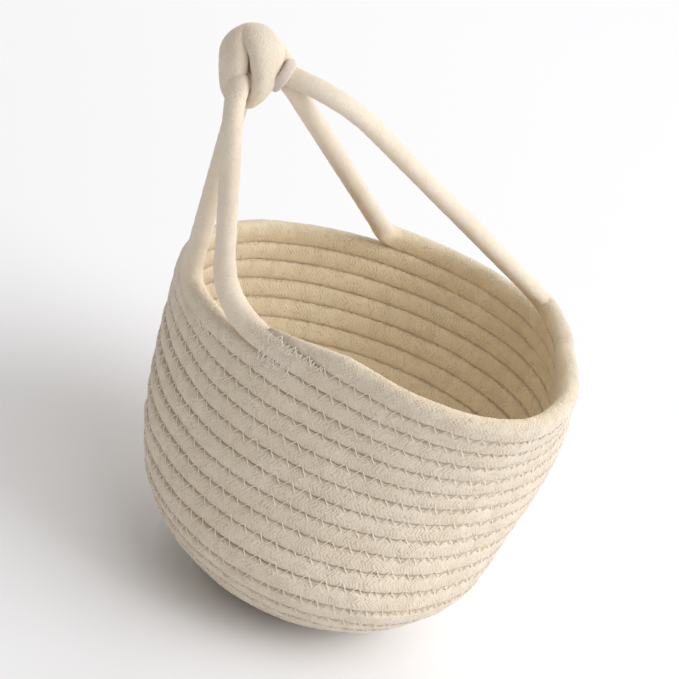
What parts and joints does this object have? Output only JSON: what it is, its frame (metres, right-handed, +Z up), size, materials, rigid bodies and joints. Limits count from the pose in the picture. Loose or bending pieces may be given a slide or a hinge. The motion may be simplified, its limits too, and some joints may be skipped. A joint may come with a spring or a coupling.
{
  "type": "wall basket",
  "caption": "Small coiled cotton-rope basket with two rope loop handles gathered in one knot, to hang from a wall hook or stand on its base.",
  "frame": {"origin": "on the flat underside of the base, below the first turn of the spiral", "axes": "+Z up along the basket, -Y towards the front that the picture shows, +X to its right"},
  "size_m": [0.1421, 0.1528, 0.1993],
  "materials": {
    "cotton_rope": "undyed knitted cotton jacket, matt, with fine slanting ribs",
    "sewing_thread": "off-white spun sewing thread, matt"
  },
  "bodies": {
    "basket": {"body_coil": "cotton_rope", "rim_middle_turn": "cotton_rope", "rim_top_turn": "cotton_rope", "back_handle_left_leg": "cotton_rope", "back_handle_right_leg": "cotton_rope", "front_handle_left_leg": "cotton_rope", "front_handle_right_leg": "cotton_rope", "seam_thread": "sewing_thread", "tack_far_left": "sewing_thread", "tack_back": "sewing_thread", "tack_near_left": "sewing_thread", "tack_right": "sewing_thread", "tack_tail": "sewing_thread"},
    "knot": {"knot_core": "cotton_rope", "knot_wraps": "cotton_rope"}
  },
  "joints": [
    {"name": "knot_swing", "type": "hinge", "parent": "basket", "child": "knot", "pos_m": [-0.07208, -0.04582, 0.1906], "axis": [0, 1, 0], "range_deg": [-20, 20]}
  ]
}
